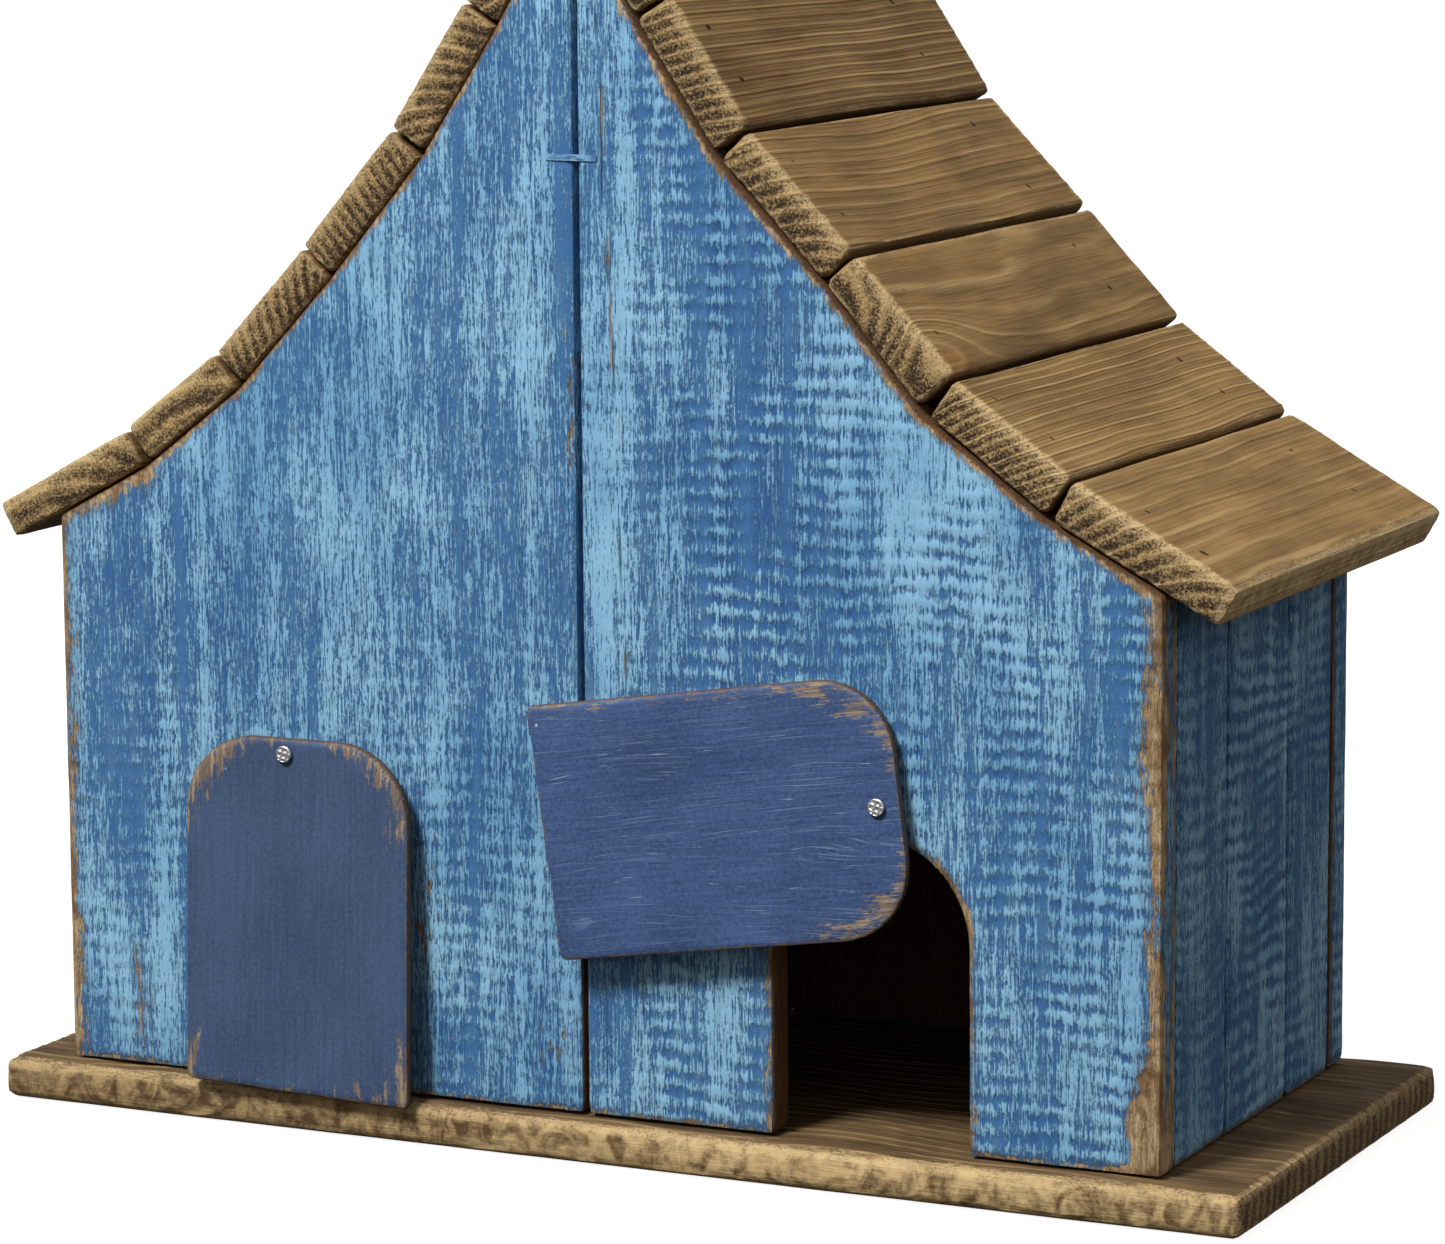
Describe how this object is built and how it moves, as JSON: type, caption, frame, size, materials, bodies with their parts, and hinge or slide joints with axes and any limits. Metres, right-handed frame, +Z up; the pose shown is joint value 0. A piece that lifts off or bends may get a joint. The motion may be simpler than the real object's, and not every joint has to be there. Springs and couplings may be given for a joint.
{
  "type": "birdhouse",
  "caption": "Plank birdhouse with a steep swooping slatted roof and small plywood doors that pivot on nails to uncover arched entrances at floor level.",
  "frame": {"origin": "centre of the base board's underside", "axes": "+X to the viewer's right along the front, +Y from the front wall to the back wall, +Z up"},
  "size_m": [0.3182, 0.1485, 0.3096],
  "materials": {
    "blue_paint": "distressed light blue paint over darker blue, matt",
    "door_paint": "navy painted plywood with worn edges, satin",
    "roof_timber": "brown stained softwood with lighter worn edges, matt",
    "base_timber": "brown stained softwood, coarse grain, matt",
    "zinc_plated_steel": "bright zinc plated"
  },
  "bodies": {
    "house": {"base_board": "base_timber", "front_plank_left": "blue_paint", "front_plank_right": "blue_paint", "back_plank_left": "blue_paint", "back_plank_right": "blue_paint", "left_side_plank_front": "blue_paint", "left_side_plank_middle": "blue_paint", "left_side_plank_back": "blue_paint", "right_side_plank_front": "blue_paint", "right_side_plank_middle": "blue_paint", "right_side_plank_back": "blue_paint", "left_roof_slat_1": "roof_timber", "left_roof_slat_2": "roof_timber", "left_roof_slat_3": "roof_timber", "left_roof_slat_4": "roof_timber", "left_roof_slat_5": "roof_timber", "left_roof_slat_6": "roof_timber", "right_roof_slat_1": "roof_timber", "right_roof_slat_2": "roof_timber", "right_roof_slat_3": "roof_timber", "right_roof_slat_4": "roof_timber", "right_roof_slat_5": "roof_timber", "right_roof_slat_6": "roof_timber", "left_door_nail": "zinc_plated_steel", "right_door_nail": "zinc_plated_steel", "front_seam_staple": "zinc_plated_steel", "back_seam_staple": "zinc_plated_steel", "base_nail_1": "zinc_plated_steel", "base_nail_2": "zinc_plated_steel", "base_nail_3": "zinc_plated_steel", "base_nail_4": "zinc_plated_steel", "base_nail_5": "zinc_plated_steel", "base_nail_6": "zinc_plated_steel", "base_nail_7": "zinc_plated_steel", "base_nail_8": "zinc_plated_steel", "base_nail_9": "zinc_plated_steel", "base_nail_10": "zinc_plated_steel", "base_nail_11": "zinc_plated_steel", "base_nail_12": "zinc_plated_steel", "base_nail_13": "zinc_plated_steel", "base_nail_14": "zinc_plated_steel"},
    "left_door": {"left_door": "door_paint"},
    "right_door": {"right_door": "door_paint"}
  },
  "joints": [
    {"name": "left_door_swing", "type": "hinge", "parent": "house", "child": "left_door", "pos_m": [-0.0787, -0.06409, 0.08962], "axis": [0, -0.9981, 0.061], "range_deg": [-90, 35]},
    {"name": "right_door_swing", "type": "hinge", "parent": "house", "child": "right_door", "pos_m": [0.0722, -0.06409, 0.08882], "axis": [0, -0.9981, 0.061], "range_deg": [-8.5, 171.5]}
  ]
}
